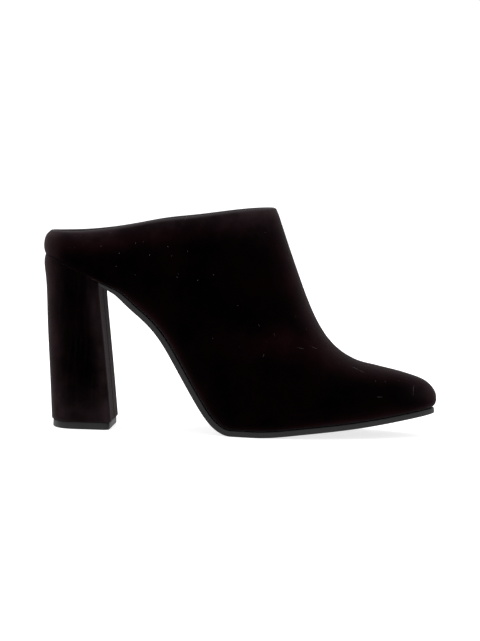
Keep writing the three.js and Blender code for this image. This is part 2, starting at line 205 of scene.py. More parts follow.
def feather_height(x):
    """Height of the feather line, where the upper meets the sole."""
    x = np.asarray(x, float)
    return np.select(
        [x < SEAT_END_X, x < BALL_BACK_X, x < BALL_FRONT_X],
        [SEAT_BACK_Z + SEAT_SLOPE * (x - SEAT_BACK_X), arch_height(x), FEATHER_AT_BALL],
        FEATHER_AT_BALL + spring_height(x),
    )


def feather_tilt(x):
    """Unit direction square to the feather line, as its x and z parts."""
    step = 0.05
    slope = (feather_height(x + step) - feather_height(x - step)) / (2 * step)
    length = np.hypot(1, slope)
    return -slope / length, 1 / length


def above_feather(x, y, distance):
    """Points a distance above the feather line, square to it."""
    tilt_x, tilt_z = feather_tilt(x)
    x, y, distance = np.broadcast_arrays(x, y, distance)
    return np.stack((x + tilt_x * distance, y, feather_height(x) + tilt_z * distance), -1)


# Past its two ends the last is its own mirror image, in the columns that change sign or slope there.
MIRRORED = [LAST_COLUMNS.index(name) for name in ("outer", "inner", "crown_z")]
first_past, last_past = LAST_ROWS[1].copy(), LAST_ROWS[-2].copy()
first_past[MIRRORED] = 2 * LAST_ROWS[0, MIRRORED] - LAST_ROWS[1, MIRRORED]
last_past[MIRRORED] = 2 * LAST_ROWS[-1, MIRRORED] - LAST_ROWS[-2, MIRRORED]
EXTENDED_ROWS = np.vstack((first_past, LAST_ROWS, last_past))


def last_at(s):
    """All columns of the last at station s, which counts rows from the heel."""
    s = np.asarray(s, float)
    past = (s < 0) | (s > LAST_END)
    s = np.where(s < 0, -s, np.where(s > LAST_END, 2 * LAST_END - s, s))
    i = np.minimum(np.floor(s).astype(int), LAST_END - 1)
    t = (s - i)[..., None]
    before, start, end, after = (EXTENDED_ROWS[i + k] for k in range(4))
    square = 2 * before - 5 * start + 4 * end - after
    cube = 3 * (start - end) + after - before
    values = start + 0.5 * t * (end - before + t * (square + t * cube))
    section = {name: values[..., k] for k, name in enumerate(LAST_COLUMNS)}
    for half in ("outer", "inner"):
        section[half] = np.where(past, -section[half], section[half])
    return section


def plan_point(s, side, inset):
    """x and y on the widest outline, moved inwards square to itself by inset."""
    step = 0.01
    here, back, front = last_at(s), last_at(s - step), last_at(s + step)
    half = "outer" if side == OUTER else "inner"
    dx = front["foot"] - back["foot"]
    dy = side * (front[half] - back[half]) + front["axis"] - back["axis"]
    length = np.hypot(dx, dy)
    x = here["foot"] + inset * side * dy / length
    y = here["axis"] + side * here[half] - inset * side * dx / length
    return x, y


def undercut(section, edge):
    """How far the lower edge lies inside the widest outline; edge names the column of its radius."""
    half = np.maximum((section["outer"] + section["inner"]) / 2, 0)
    radius = section[edge]
    return section["swell"] + radius * np.maximum(half / (half + radius), LEAST_ROUND_SHARE)


def last_point(s, side, part, edge="round"):
    """A point on one side of the last. part is 0 at the feather, 1 at the widest and 2 at the crown."""
    s, part = np.broadcast_arrays(np.asarray(s, float), np.asarray(part, float))
    section = last_at(s)
    line_x = section["crown_x"] - section["foot"]
    line_z = section["crown_z"] - feather_height(section["foot"])
    height = np.hypot(line_x, line_z)
    widest = section["rise"] / height
    half = section["outer" if side == OUTER else "inner"]
    power = 2 / section["square"]
    below = np.clip(1 - part, 0, 1) * QUARTER_TURN
    above = np.clip(part - 1, 0, 1) * QUARTER_TURN
    low_x, low_y = plan_point(s, side, undercut(section, edge) * (1 - np.cos(below)))
    high_y = section["axis"] + side * half * np.maximum(np.cos(above), 0) ** power
    lower = part < 1
    up = np.where(lower, widest * (1 - np.sin(below)), widest + (1 - widest) * np.sin(above) ** power)
    x = np.where(lower, low_x, section["foot"])
    y = np.where(lower, low_y, high_y)
    bow = 4 * section["bow"] * up * (1 - up) / height
    z = feather_height(x) + line_z * up + line_x * bow
    return np.stack((x + line_x * up - line_z * bow, y, z), -1)


# ---- Sheets that follow the last

def resampled(points, shares):
    """Points at given shares of a polyline's length."""
    lengths = np.concatenate(([0], np.cumsum(np.linalg.norm(np.diff(points, axis=0), axis=1))))
    at = shares * lengths[-1]
    return np.stack([np.interp(at, lengths, points[:, k]) for k in range(3)], -1)


HALVINGS = 40  # steps of a search by halving
SHORT_MARGIN = 0.5  # of the sheets that end at the feather line


def throat_station(drop):
    """The station where the instep ridge meets the collar line lowered by drop."""
    low, high = 5.0, 9.0  # it lies between these stations at any drop
    for _ in range(HALVINGS):
        middle = (low + high) / 2
        x, _, z = last_point(middle, OUTER, 2)
        low, high = (middle, high) if z > topline_height(x) - drop else (low, middle)
    return (low + high) / 2


class Sheet:
    """The last's surface from a turned-in margin up to the collar line lowered by drop.

    Both sides are joined. edge is "round" for the outside of the shoe and "hollow" for the inside.
    points and normals hold a row for each vertex; ids holds vertex numbers by side, station and row."""

    BACK_COLUMNS = 96  # stations from the heel to the throat, where the collar's line ends
    FRONT_COLUMNS = 112
    MARGIN_ROWS = 3
    TURN_ROWS = 12
    WALL_ROWS = 48
    TURN_STEPS, WALL_STEPS = 25, 121  # of the finer lines that the rows are taken from
    THROAT_CROWDING, RIM_CROWDING = 1.5, 1.35  # over 1 sets columns or rows closer towards it

    def __init__(self, drop, margin, edge="hollow"):
        self.edge = edge
        throat = throat_station(drop)
        back = throat * (1 - (1 - np.linspace(0, 1, self.BACK_COLUMNS + 1)) ** self.THROAT_CROWDING)
        front = np.linspace(throat, LAST_END, self.FRONT_COLUMNS + 1)[1:]
        self.stations = np.concatenate((back, front))
        sides = [self._side(side, drop, margin) for side in (INNER, OUTER)]
        loose = np.array(sides)
        ids = np.arange(loose[..., 0].size).reshape(loose.shape[:3])
        ids[1, 0], ids[1, -1] = ids[0, 0], ids[0, -1]
        ids[1, self.BACK_COLUMNS:, -1] = ids[0, self.BACK_COLUMNS:, -1]
        used, packed = np.unique(ids, return_inverse=True)
        self.ids = packed.reshape(ids.shape)
        self.points = loose.reshape(-1, 3)[used]
        a, b = self.ids[:, :-1, :-1], self.ids[:, :-1, 1:]
        c, d = self.ids[:, 1:, 1:], self.ids[:, 1:, :-1]
        quads = np.stack((a, b, c, d), -1)
        self.faces = np.concatenate((quads[0].reshape(-1, 4), quads[1].reshape(-1, 4)[:, ::-1]))
        self.rim = self._loop(-1, self.BACK_COLUMNS)
        self.hem = self._loop(0, len(self.stations) - 1)
        self.refresh_normals()

    def _side(self, side, drop, margin):
        turn = np.linspace(0, 1, self.TURN_STEPS)
        wall = np.linspace(1, 2, self.WALL_STEPS)
        shares = 1 - (1 - np.linspace(0, 1, self.WALL_ROWS + 1)) ** self.RIM_CROWDING
        turned_in = margin * np.linspace(1, 0, self.MARGIN_ROWS + 1)[:-1]
        columns = []
        for k, s in enumerate(self.stations):
            x, y = plan_point(s, side, undercut(last_at(s), self.edge) + turned_in)
            under = np.stack((x, y, feather_height(x)), -1)
            lower = last_point(s, side, turn, self.edge)
            lower = resampled(lower, np.linspace(0, 1, self.TURN_ROWS + 1)[:-1])
            upper = last_point(s, side, wall)
            room = topline_height(upper[:, 0]) - drop - upper[:, 2]
            above = np.flatnonzero(room < 0)
            if k < self.BACK_COLUMNS and len(above):
                cut = above[0]
                share = room[cut - 1] / (room[cut - 1] - room[cut])
                edge = upper[cut - 1] + (upper[cut] - upper[cut - 1]) * share
                upper = np.vstack((upper[:cut], edge))
            columns.append(np.vstack((under, lower, resampled(upper, shares))))
        return columns

    def _loop(self, row, end):
        return np.concatenate((self.ids[0, :end + 1, row], self.ids[1, 1:end, row][::-1]))

    def refresh_normals(self):
        corner = self.points[self.faces]
        across = np.cross(corner[:, 2] - corner[:, 0], corner[:, 3] - corner[:, 1])
        self.normals = np.zeros_like(self.points)
        for k in range(4):
            np.add.at(self.normals, self.faces[:, k], across)
        self.normals /= np.linalg.norm(self.normals, axis=1)[:, None]

    def push_in(self, depth):
        self.points = self.points - self.normals * depth[:, None]
        self.refresh_normals()

    def rim_distance(self):
        """Distance of every vertex from the collar's edge."""
        ring = self.points[self.rim]
        return np.min([np.linalg.norm(self.points - place, axis=1) for place in ring], axis=0)


CREASE_BEND = 0.12  # how far a trough's ends curve, in half-lengths


def crease_depth(points):
    """Depth at points of the upper of the listed troughs and the ridges either side of them."""
    depth = np.zeros(len(points))
    for row in CREASES:
        crease = dict(zip(CREASE_COLUMNS, row))
        heading = math.radians(crease["heading"])
        dx, dz = points[:, 0] - crease["x"], points[:, 2] - crease["z"]
        along = (dx * math.cos(heading) + dz * math.sin(heading)) / crease["reach"]
        bent = CREASE_BEND * crease["reach"] * along**2
        across = (dz * math.cos(heading) - dx * math.sin(heading) + bent) / crease["width"]
        shape = (1 - 0.6 * across**2) * np.exp(-0.5 * across**2 - along**2)
        depth += crease["depth"] * shape * (points[:, 1] * crease["side"] > 0)
    return depth


WAVE_HEIGHT = 0.09


def waviness(points):
    """Slow unevenness of cloth pulled by hand over a last."""
    x, y, z = points.T
    broad = np.sin(x / 9.1 + y / 13.7) * np.sin(z / 11.3 + 0.7)
    return WAVE_HEIGHT * (broad + 0.7 * np.sin(x / 5.3 - z / 6.9 + y / 8.3))


def shell(sheet, outside, inside, rim_steps, hollow=None):
    """A closed wall between two depths below a sheet, with a half-round top edge.

    hollow is the sheet for the inside, where it is not the same one."""
    hollow = hollow or sheet
    count = len(sheet.points)
    outer = sheet.points - sheet.normals * outside
    inner = hollow.points - hollow.normals * inside
    faces = [sheet.faces, sheet.faces[:, ::-1] + count]
    hem = sheet.hem
    ahead = np.roll(hem, -1)
    faces.append(np.stack((hem, ahead, ahead + count, hem + count), -1))
    rim = sheet.rim
    ring = sheet.points[rim]
    along = np.roll(ring, -1, axis=0) - np.roll(ring, 1, axis=0)
    along /= np.linalg.norm(along, axis=1)[:, None]
    out = sheet.normals[rim]
    up = np.cross(along, out)
    radius = (inside - outside) / 2
    middle = ring - out * (inside + outside) / 2
    rings = [rim]
    arcs = []
    for step in range(1, rim_steps):
        angle = math.pi * step / rim_steps
        arcs.append(middle + radius * (math.cos(angle) * out + math.sin(angle) * up))
        rings.append(2 * count + (step - 1) * len(rim) + np.arange(len(rim)))
    rings.append(rim + count)
    for low, high in zip(rings, rings[1:]):
        faces.append(np.stack((low, high, np.roll(high, -1), np.roll(low, -1)), -1))
    return np.vstack([outer, inner] + arcs), np.concatenate(faces)


def quarter_round(radius, steps):
    """Two distances that fall and grow round a quarter circle: (radius, 0) to (0, radius)."""
    angles = np.linspace(0, QUARTER_TURN, steps)
    return [(radius * (1 - math.sin(angle)), radius * (1 - math.cos(angle))) for angle in angles]


# ---- Meshes

WELD = 1e-6  # metres


def new_object(name, data):
    """An object in the scene that holds a mesh, a lamp or a camera."""
    made = bpy.data.objects.new(name, data)
    bpy.context.scene.collection.objects.link(made)
    return made


def add_piece(name, points, faces, material, slot, *nodes, merge=False):
    """A closed, smooth mesh object that rides on the shoe's body and stands for CAD nodes."""
    mesh = bpy.data.meshes.new(name)
    mesh.from_pydata(frame_points(points).tolist(), [], [list(map(int, face)) for face in faces])
    return settle_piece(name, mesh, material, nodes, merge)


def settle_piece(name, mesh, material, nodes, merge=False):
    """Checks that a mesh is closed and faces outwards, and makes it a piece of the shoe."""
    solid = bmesh.new()
    solid.from_mesh(mesh)
    if merge:
        bmesh.ops.remove_doubles(solid, verts=solid.verts, dist=WELD)
    if solid.calc_volume(signed=True) <= 0:
        raise RuntimeError(f"{name} is inside out")
    open_edges = sum(not edge.is_manifold for edge in solid.edges)
    if open_edges:
        raise RuntimeError(f"{name} has {open_edges} open edges")
    solid.to_mesh(mesh)
    solid.free()
    mesh.shade_smooth()
    mesh.materials.clear()
    mesh.materials.append(material)
    piece = new_object(name, mesh)
    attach(piece, "root")
    if nodes:
        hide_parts(*nodes)
    return piece


def set_attribute(mesh, name, values):
    """A number or a vector at each vertex."""
    values = np.asarray(values, np.float32)
    kind, key = ("FLOAT", "value") if values.ndim == 1 else ("FLOAT_VECTOR", "vector")
    mesh.attributes.new(name, kind, "POINT").data.foreach_set(key, values.ravel())


def stacked(rings, first_lid=True, last_lid=True):
    """Points and faces of a stack of rings, each anticlockwise seen from the side they go on to.

    An end gets a lid unless its ring is already folded flat."""
    closed = np.asarray(rings, float)
    first, last = closed[:1].mean(1, keepdims=True), closed[-1:].mean(1, keepdims=True)
    if first_lid:
        closed = np.concatenate((np.broadcast_to(first, closed[:1].shape), closed))
    if last_lid:
        closed = np.concatenate((closed, np.broadcast_to(last, closed[:1].shape)))
    count, size = closed.shape[:2]
    low = np.arange(size)
    faces = []
    for i in range(count - 1):
        a, b = low + i * size, np.roll(low, -1) + i * size
        faces.append(np.stack((a, b, b + size, a + size), -1))
    return closed.reshape(-1, 3), np.concatenate(faces)


def hump(x, middle, width):
    """1 at the middle and less to either side of it."""
    return np.exp(-((x - middle) / width) ** 2)


def smoothstep(x, low, high):
    """0 up to low, 1 from high, and a soft rise between them."""
    t = np.clip((x - low) / (high - low), 0, 1)
    return t * t * (3 - 2 * t)


# ---- Node trees

def set_inputs(tree, node, inputs):
    """Sets inputs of a node, each to a value or to another node's socket."""
    for name, value in inputs.items():
        if isinstance(value, bpy.types.NodeSocket):
            tree.links.new(value, node.inputs[name])
        else:
            node.inputs[name].default_value = value


def add_node(tree, kind, inputs=None, **settings):
    """A node with its settings, and its inputs as set_inputs() takes them."""
    node = tree.nodes.new(kind)
    for name, value in settings.items():
        setattr(node, name, value)
    set_inputs(tree, node, inputs or {})
    return node


def new_group(name, kind, inputs, outputs):
    """A node group with named sockets; returns its tree, its input node and its output node."""
    tree = bpy.data.node_groups.new(name, kind)
    for label, socket, default in inputs:
        entry = tree.interface.new_socket(label, in_out="INPUT", socket_type=socket)
        if default is not None:
            entry.default_value = default
    for label, socket in outputs:
        tree.interface.new_socket(label, in_out="OUTPUT", socket_type=socket)
    return tree, tree.nodes.new("NodeGroupInput"), tree.nodes.new("NodeGroupOutput")


def noise(tree, place, scale, detail, roughness):
    return add_node(tree, "ShaderNodeTexNoise", {
        "Vector": place, "Scale": scale, "Detail": detail, "Roughness": roughness,
    }).outputs["Fac"]


def remap(tree, value, low, high, to_low=0.0, to_high=1.0):
    node = add_node(tree, "ShaderNodeMapRange", {
        "Value": value, "From Min": low, "From Max": high, "To Min": to_low, "To Max": to_high,
    }, interpolation_type="SMOOTHSTEP")
    return node.outputs["Result"]


def maths(tree, operation, a, b):
    return add_node(tree, "ShaderNodeMath", {0: a, 1: b}, operation=operation).outputs[0]


def stretched(tree, place, scale):
    return add_node(tree, "ShaderNodeMapping", {"Vector": place, "Scale": scale}).outputs["Vector"]


def nap_group():
    """Velvet pile: soft patches where the nap lies one way or the other, streaks, and the pile."""
    group = bpy.data.node_groups.get("velvet_nap")
    if group:
        return group
    tree, given, result = new_group(
        "velvet_nap", "ShaderNodeTree",
        [("Vector", "NodeSocketVector", None), ("Patch Scale", "NodeSocketFloat", 30.0),
         ("Streak Strength", "NodeSocketFloat", 0.3)],
        [("Patches", "NodeSocketFloat"), ("Streaks", "NodeSocketFloat"), ("Pile", "NodeSocketFloat")],
    )
    place = given.outputs["Vector"]
    broad = noise(tree, place, given.outputs["Patch Scale"], 3.0, 0.55)
    fine = noise(tree, place, 210.0, 3.0, 0.6)
    patches = remap(tree, broad, 0.36, 0.68)
    flecks = remap(tree, fine, 0.42, 0.75)
    patches, flecks = maths(tree, "MULTIPLY", patches, 0.75), maths(tree, "MULTIPLY", flecks, 0.25)
    tall = noise(tree, stretched(tree, place, (520.0, 520.0, 46.0)), 1.0, 3.0, 0.6)
    streaks = maths(tree, "MULTIPLY", remap(tree, tall, 0.45, 0.72), given.outputs["Streak Strength"])
    pile = noise(tree, place, 2600.0, 2.0, 0.7)
    grain = maths(tree, "ADD", pile, maths(tree, "MULTIPLY", fine, 1.5))
    mixed = maths(tree, "ADD", patches, flecks)
    set_inputs(tree, result, {"Patches": mixed, "Streaks": streaks, "Pile": grain})
    return tree


def grain_group():
    """Fine pebble grain of moulded rubber or leather, with dust caught in it."""
    group = bpy.data.node_groups.get("fine_grain")
    if group:
        return group
    tree, given, result = new_group(
        "fine_grain", "ShaderNodeTree",
        [("Vector", "NodeSocketVector", None), ("Grain Scale", "NodeSocketFloat", 900.0)],
        [("Grain", "NodeSocketFloat"), ("Wear", "NodeSocketFloat")],
    )
    place = given.outputs["Vector"]
    cells = add_node(tree, "ShaderNodeTexVoronoi", {
        "Scale": given.outputs["Grain Scale"], "Vector": place})
    soft = noise(tree, place, 420.0, 3.0, 0.6)
    broad = noise(tree, place, 60.0, 4.0, 0.65)
    grain = maths(tree, "ADD", cells.outputs["Distance"], soft)
    set_inputs(tree, result, {"Grain": grain, "Wear": remap(tree, broad, 0.45, 0.75)})
    return tree


def new_material(name):
    """A material with its tree, its shader, and the place on the piece."""
    material = bpy.data.materials.new(name)
    material.use_nodes = True
    tree = material.node_tree
    shader = tree.nodes["Principled BSDF"]
    place = tree.nodes.new("ShaderNodeTexCoord").outputs["Object"]
    return material, tree, shader, place


def mixed_colour(tree, share, low, high):
    low, high = (end if isinstance(end, bpy.types.NodeSocket) else (*end, 1) for end in (low, high))
    node = add_node(tree, "ShaderNodeMix", data_type="RGBA")
    set_inputs(tree, node, {"Factor": share, 6: low, 7: high})  # the node's two colours
    return node.outputs[2]


def mask(tree, name):
    return add_node(tree, "ShaderNodeAttribute", attribute_name=name).outputs["Fac"]


def bumped(tree, shader, height, strength, distance):
    bump = add_node(tree, "ShaderNodeBump", {
        "Height": height, "Strength": strength, "Distance": distance})
    tree.links.new(bump.outputs["Normal"], shader.inputs["Normal"])


def velvet_material(name, patch_scale, streaks, sheen_roughness):
    """Near-black velvet, wine at a slant, with painted sheen on brushed-up pile, a painted wine glow
    and a painted rim highlight.
    """
    if name in bpy.data.materials:
        return bpy.data.materials[name]
    colours = bpy.context.scene.mule_colours
    material, tree, shader, place = new_material(name)
    nap = add_node(tree, "ShaderNodeGroup", {
        "Vector": place, "Patch Scale": patch_scale, "Streak Strength": streaks,
    }, node_tree=nap_group())
    patches = nap.outputs["Patches"]
    # Painted sheen: the edge, ridge, back and toe masks lighten the cloth towards the sheen colour, as
    # if lit at a slant; along the collar it is partly brushed-up pile.
    lit = maths(tree, "MULTIPLY", mask(tree, "sheen_and_brushed"), maths(tree, "ADD", patches, 0.45))
    light = maths(tree, "MINIMUM", maths(tree, "ADD", lit, nap.outputs["Streaks"]), 1.0)
    # Wine sheen colour at a slant from the view, also laid on by the painted wine glow mask below the
    # rim and on the vamp.
    facing = add_node(tree, "ShaderNodeLayerWeight", {"Blend": 0.5}).outputs["Facing"]
    turned = maths(tree, "MAXIMUM", remap(tree, facing, 0.1, 0.55), mask(tree, "painted_wine_glow"))
    turned = maths(tree, "MULTIPLY", turned, remap(tree, patches, 0, 1, 0.5, 1))
    cloth = mixed_colour(tree, patches, colours.velvet, colours.velvet_patch)
    cloth = mixed_colour(tree, turned, cloth, colours.velvet_turned)
    cloth = mixed_colour(tree, light, cloth, colours.velvet_sheen_and_brushed)
    set_inputs(tree, shader, {
        # The rim mask paints a highlight along the collar's edge.
        "Base Color": mixed_colour(tree, mask(tree, "rim"), cloth, colours.velvet_rim_highlight),
        "Roughness": remap(tree, patches, 0.0, 1.0, 0.82, 1.0),
        "Specular IOR Level": 0.0,
        "Sheen Weight": colours.sheen,
        "Sheen Roughness": sheen_roughness,
        "Sheen Tint": (*colours.sheen_tint, 1),
    })
    bumped(tree, shader, nap.outputs["Pile"], 0.35, 0.0003)
    return material


def grained_material(name, scale, colour, worn, roughness, specular, bump):
    """Fine-grained stuff that changes to a second colour and a second roughness where it has worn."""
    if name in bpy.data.materials:
        return bpy.data.materials[name]
    material, tree, shader, place = new_material(name)
    grain = add_node(tree, "ShaderNodeGroup", {
        "Vector": place, "Grain Scale": scale}, node_tree=grain_group())
    wear = grain.outputs["Wear"]
    set_inputs(tree, shader, {
        "Base Color": mixed_colour(tree, wear, colour, worn),
        "Roughness": remap(tree, wear, 0.0, 1.0, *roughness),
        "Specular IOR Level": specular,
    })
    bumped(tree, shader, grain.outputs["Grain"], *bump)
    return material


def rubber_material():
    """Matt black rubber with a pebble grain, a little greyer where it has rubbed."""
    colours = bpy.context.scene.mule_colours
    return grained_material("black_rubber", 1100.0, colours.rubber, colours.rubber_worn,
                            roughness=(0.55, 0.75), specular=0.25, bump=(0.25, 0.0002))


def lining_material(name, colour, scale):
    """Smooth lining leather: a fine grain with soft darker handling marks."""
    darker = tuple(0.55 * part for part in colour)
    return grained_material(name, scale, colour, darker,
                            roughness=(0.5, 0.68), specular=0.5, bump=(0.3, 0.00025))


def thread_material(name, colour, roughness):
    """Twisted thread or lint fibre: fine diagonal strands."""
    if name in bpy.data.materials:
        return bpy.data.materials[name]
    material, tree, shader, place = new_material(name)
    twist = add_node(tree, "ShaderNodeTexWave", {"Vector": place, "Scale": 1400.0, "Distortion": 2.0},
                     bands_direction="DIAGONAL")
    dark = tuple(0.6 * part for part in colour)
    strands = mixed_colour(tree, twist.outputs["Fac"], dark, colour)
    set_inputs(tree, shader, {"Base Color": strands, "Roughness": roughness})
    bumped(tree, shader, twist.outputs["Fac"], 0.3, 0.0001)
    return material


# ---- What repeats: a small thing set at points, or along a path

def rod_tree(name, along_path):
    """Geometry nodes that set a slim rounded rod at each step of a path or at each vertex."""
    tree, given, result = new_group(
        name, "GeometryNodeTree",
        [("Geometry", "NodeSocketGeometry", None), ("Spacing", "NodeSocketFloat", 0.003),
         ("Length", "NodeSocketFloat", 0.002), ("Thickness", "NodeSocketFloat", 0.0004),
         ("Material", "NodeSocketMaterial", None)],
        [("Geometry", "NodeSocketGeometry")],
    )
    bead = add_node(tree, "GeometryNodeMeshUVSphere", {"Segments": 8, "Rings": 6, "Radius": 0.5})
    size = add_node(tree, "ShaderNodeCombineXYZ", {
        "X": given.outputs["Length"], "Y": given.outputs["Thickness"], "Z": given.outputs["Thickness"]})
    rod = add_node(tree, "GeometryNodeTransform", {
        "Geometry": bead.outputs["Mesh"], "Scale": size.outputs["Vector"]})
    placed = tree.nodes.new("GeometryNodeInstanceOnPoints")
    if along_path:
        path = add_node(tree, "GeometryNodeMeshToCurve", {"Mesh": given.outputs["Geometry"]})
        places = add_node(tree, "GeometryNodeCurveToPoints", {
            "Curve": path.outputs["Curve"], "Length": given.outputs["Spacing"]}, mode="LENGTH")
        turn = add_node(tree, "FunctionNodeAlignRotationToVector", {
            "Vector": places.outputs["Tangent"]}, axis="X")
        tree.links.new(places.outputs["Points"], placed.inputs["Points"])
    else:
        heading, scale = (
            add_node(tree, "GeometryNodeInputNamedAttribute", {"Name": label},
                     data_type="FLOAT_VECTOR").outputs["Attribute"]
            for label in ("heading", "size")
        )
        turn = add_node(tree, "FunctionNodeAlignRotationToVector", {"Vector": heading}, axis="X")
        set_inputs(tree, placed, {"Points": given.outputs["Geometry"], "Scale": scale})
    set_inputs(tree, placed, {
        "Instance": rod.outputs["Geometry"], "Rotation": turn.outputs["Rotation"]})
    real = add_node(tree, "GeometryNodeRealizeInstances", {"Geometry": placed.outputs["Instances"]})
    smooth = add_node(tree, "GeometryNodeSetShadeSmooth", {"Geometry": real.outputs["Geometry"]})
    finished = add_node(tree, "GeometryNodeSetMaterial", {
        "Geometry": smooth.outputs["Geometry"], "Material": given.outputs["Material"]})
    tree.links.new(finished.outputs["Geometry"], result.inputs["Geometry"])
    return tree


def grown_piece(name, mesh, tree, values, material):
    """The plain mesh that a geometry-nodes tree makes from a path or from points, as a piece."""
    holder = new_object(f"{name}_path", mesh)
    modifier = holder.modifiers.new(name, "NODES")
    modifier.node_group = tree
    values = {**values, "Material": material}
    for socket in tree.interface.items_tree:
        if socket.in_out == "INPUT" and socket.name in values:
            modifier[socket.identifier] = values[socket.name]
    evaluated = holder.evaluated_get(bpy.context.evaluated_depsgraph_get())
    made = bpy.data.meshes.new_from_object(evaluated)
    bpy.data.objects.remove(holder)
    if not made.polygons:
        raise RuntimeError(f"{name} came out empty")
    made.name = name
    return settle_piece(name, made, material, ())


# ---- Sizes and colours that a user would change

def length(name, description, default):
    """A length given in millimetres and kept in metres."""
    return FloatProperty(
        name=name, description=description, default=default * MM, unit="LENGTH", precision=5)


def colour(name, description, default):
    return FloatVectorProperty(
        name=name, description=description, default=default, subtype="COLOR", size=3, min=0, max=1)


def amount(name, description, default, **limits):
    return FloatProperty(name=name, description=description, default=default, min=0, **limits)


def tilt(name, description, degrees):
    return FloatProperty(
        name=name, description=description, default=math.radians(degrees), subtype="ANGLE")


class MuleSizes(PropertyGroup):
    rim_roll: length("Rim roll", "How far the collar's edge rolls inwards", 0.7)
    rim_roll_length: length("Rim roll length", "Height of cloth that the roll takes up", 5.0)
    lining_drop: length("Lining drop", "Velvet turned over inside, above the lining", 5.2)
    lining_thickness: length("Lining thickness", "Thickness of the lining", 0.35)
    margin: length("Lasting margin", "How far the upper turns in under the foot", 5.0)
    sock_height: length("Sock height", "Top of the sock lining above the feather line", 5.5)
    tread_recess: length("Tread recess", "Depth of the tread field in the sole", 0.4)
    tread_spacing: length("Tread spacing", "Distance between tread bars", 3.6)
    breast_seam: length("Breast seam", "Depth of the seam down the heel's breast", 0.4)
    stitch_length: length("Stitch length", "Visible length of one stitch", 2.0)
    stitch_spacing: length("Stitch spacing", "Distance from one stitch to the next", 2.7)
    thread_thickness: length("Thread thickness", "Thickness of the sewing thread", 0.45)
    lint_count: IntProperty(
        name="Lint", description="Number of scattered specks of lint", default=46, min=0)


class MuleColours(PropertyGroup):
    velvet: colour("Velvet", "Velvet seen face on", (0.0002, 0.00005, 0.00006))
    velvet_patch: colour("Velvet patch", "Where the nap lies the other way", (0.0013, 0.0003, 0.0004))
    # Also the colour of the painted wine glow.
    velvet_turned: colour("Turned velvet", "Velvet seen at a slant", (0.0062, 0.0014, 0.0022))
    # Painted sheen along edges, partly brushed-up pile along the collar.
    velvet_sheen_and_brushed: colour("Brushed velvet", "Velvet brushed up along edges", (0.0165, 0.0105, 0.0118))
    # Painted highlight along the collar's edge.
    velvet_rim_highlight: colour("Rim velvet", "Rubbed pile along the collar's edge", (0.05, 0.045, 0.047))
    sheen_tint: colour("Sheen tint", "Colour of the velvet's sheen", (1.0, 0.9, 0.92))
    sheen: amount("Sheen", "Strength of the velvet's sheen", 0.085, max=1)
    rubber: colour("Rubber", "Sole and top lift", (0.008, 0.0072, 0.0076))
    rubber_worn: colour("Rubbed rubber", "Sole where it has rubbed", (0.017, 0.0155, 0.0162))
    lining: colour("Lining", "Collar lining", (0.012, 0.009, 0.01))
    sock: colour("Sock lining", "Lining under the foot", (0.018, 0.014, 0.015))
    thread: colour("Thread", "Sewing thread", (0.02, 0.016, 0.017))
    lint: colour("Lint", "Stray fibres", (0.09, 0.085, 0.08))


class MuleStage(PropertyGroup):
    camera_distance: length("Camera distance", "From the camera to the shoe's middle", 1400)
    camera_height: length("Camera height", "Above the floor", 160)
    aim_height: length("Aim height", "Height of the point that the camera looks at", 63.2)
    camera_turn: tilt("Camera turn", "Round towards the toe", 3.3)
    camera_roll: tilt("Camera roll", "The view's slant", 1.5)
    lens: amount("Lens", "Focal length in millimetres", 137.6)
    room_light: amount("Room light", "Brightness of the white room", 1.05)
    key_power: amount("Key power", "Watts of the overhead soft light", 16)


# ---- The pieces

RIM_STEPS = 8


